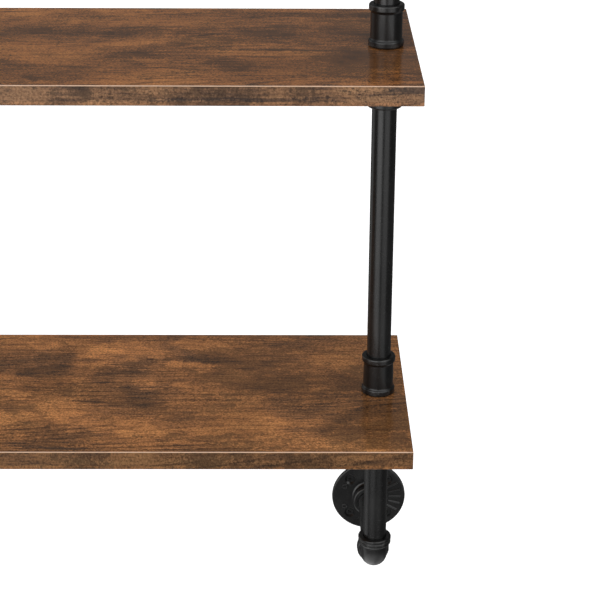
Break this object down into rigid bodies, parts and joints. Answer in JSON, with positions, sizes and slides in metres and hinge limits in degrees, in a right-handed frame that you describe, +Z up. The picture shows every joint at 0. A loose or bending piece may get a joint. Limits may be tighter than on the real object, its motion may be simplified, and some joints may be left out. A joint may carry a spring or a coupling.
{
  "type": "wall-mounted pipe shelf",
  "caption": "Wall shelf with laminated boards clamped between couplings on threaded pipe columns, held off the wall by elbows, nipples and round flanges.",
  "frame": {"origin": "on the wall plane, at the centre of the fixing pattern: midway between the two columns and midway between the lower and upper flanges", "axes": "+X along the boards to the right as seen from the room, +Y into the wall, +Z up"},
  "size_m": [0.6338, 0.251, 0.7376],
  "materials": {
    "board_laminate": "satin printed laminate, streaked dark and orange brown, grain along the board",
    "edge_band": "satin printed edge band with short mottled grain and a paler arris",
    "pipe": "satin black powder coat",
    "cast_fitting": "satin black coat over a slightly grainy casting"
  },
  "bodies": {
    "root": {"lower_shelf_board": "board_laminate", "upper_shelf_board": "board_laminate", "lower_front_edge_band": "edge_band", "lower_back_edge_band": "edge_band", "lower_left_edge_band": "edge_band", "lower_right_edge_band": "edge_band", "upper_front_edge_band": "edge_band", "upper_back_edge_band": "edge_band", "upper_left_edge_band": "edge_band", "upper_right_edge_band": "edge_band", "left_lower_wall_flange": "cast_fitting", "left_lower_wall_nipple": "pipe", "left_lower_elbow": "cast_fitting", "left_lower_riser": "pipe", "left_lower_under_coupling": "cast_fitting", "left_lower_through_nipple": "pipe", "left_lower_top_coupling": "cast_fitting", "left_upper_wall_flange": "cast_fitting", "left_upper_wall_nipple": "pipe", "left_upper_elbow": "cast_fitting", "left_upper_riser": "pipe", "left_upper_under_coupling": "cast_fitting", "left_upper_through_nipple": "pipe", "left_upper_top_coupling": "cast_fitting", "right_lower_wall_flange": "cast_fitting", "right_lower_wall_nipple": "pipe", "right_lower_elbow": "cast_fitting", "right_lower_riser": "pipe", "right_lower_under_coupling": "cast_fitting", "right_lower_through_nipple": "pipe", "right_lower_top_coupling": "cast_fitting", "right_upper_wall_flange": "cast_fitting", "right_upper_wall_nipple": "pipe", "right_upper_elbow": "cast_fitting", "right_upper_riser": "pipe", "right_upper_under_coupling": "cast_fitting", "right_upper_through_nipple": "pipe", "right_upper_top_coupling": "cast_fitting", "left_middle_riser": "pipe", "right_middle_riser": "pipe"}
  },
  "joints": []
}
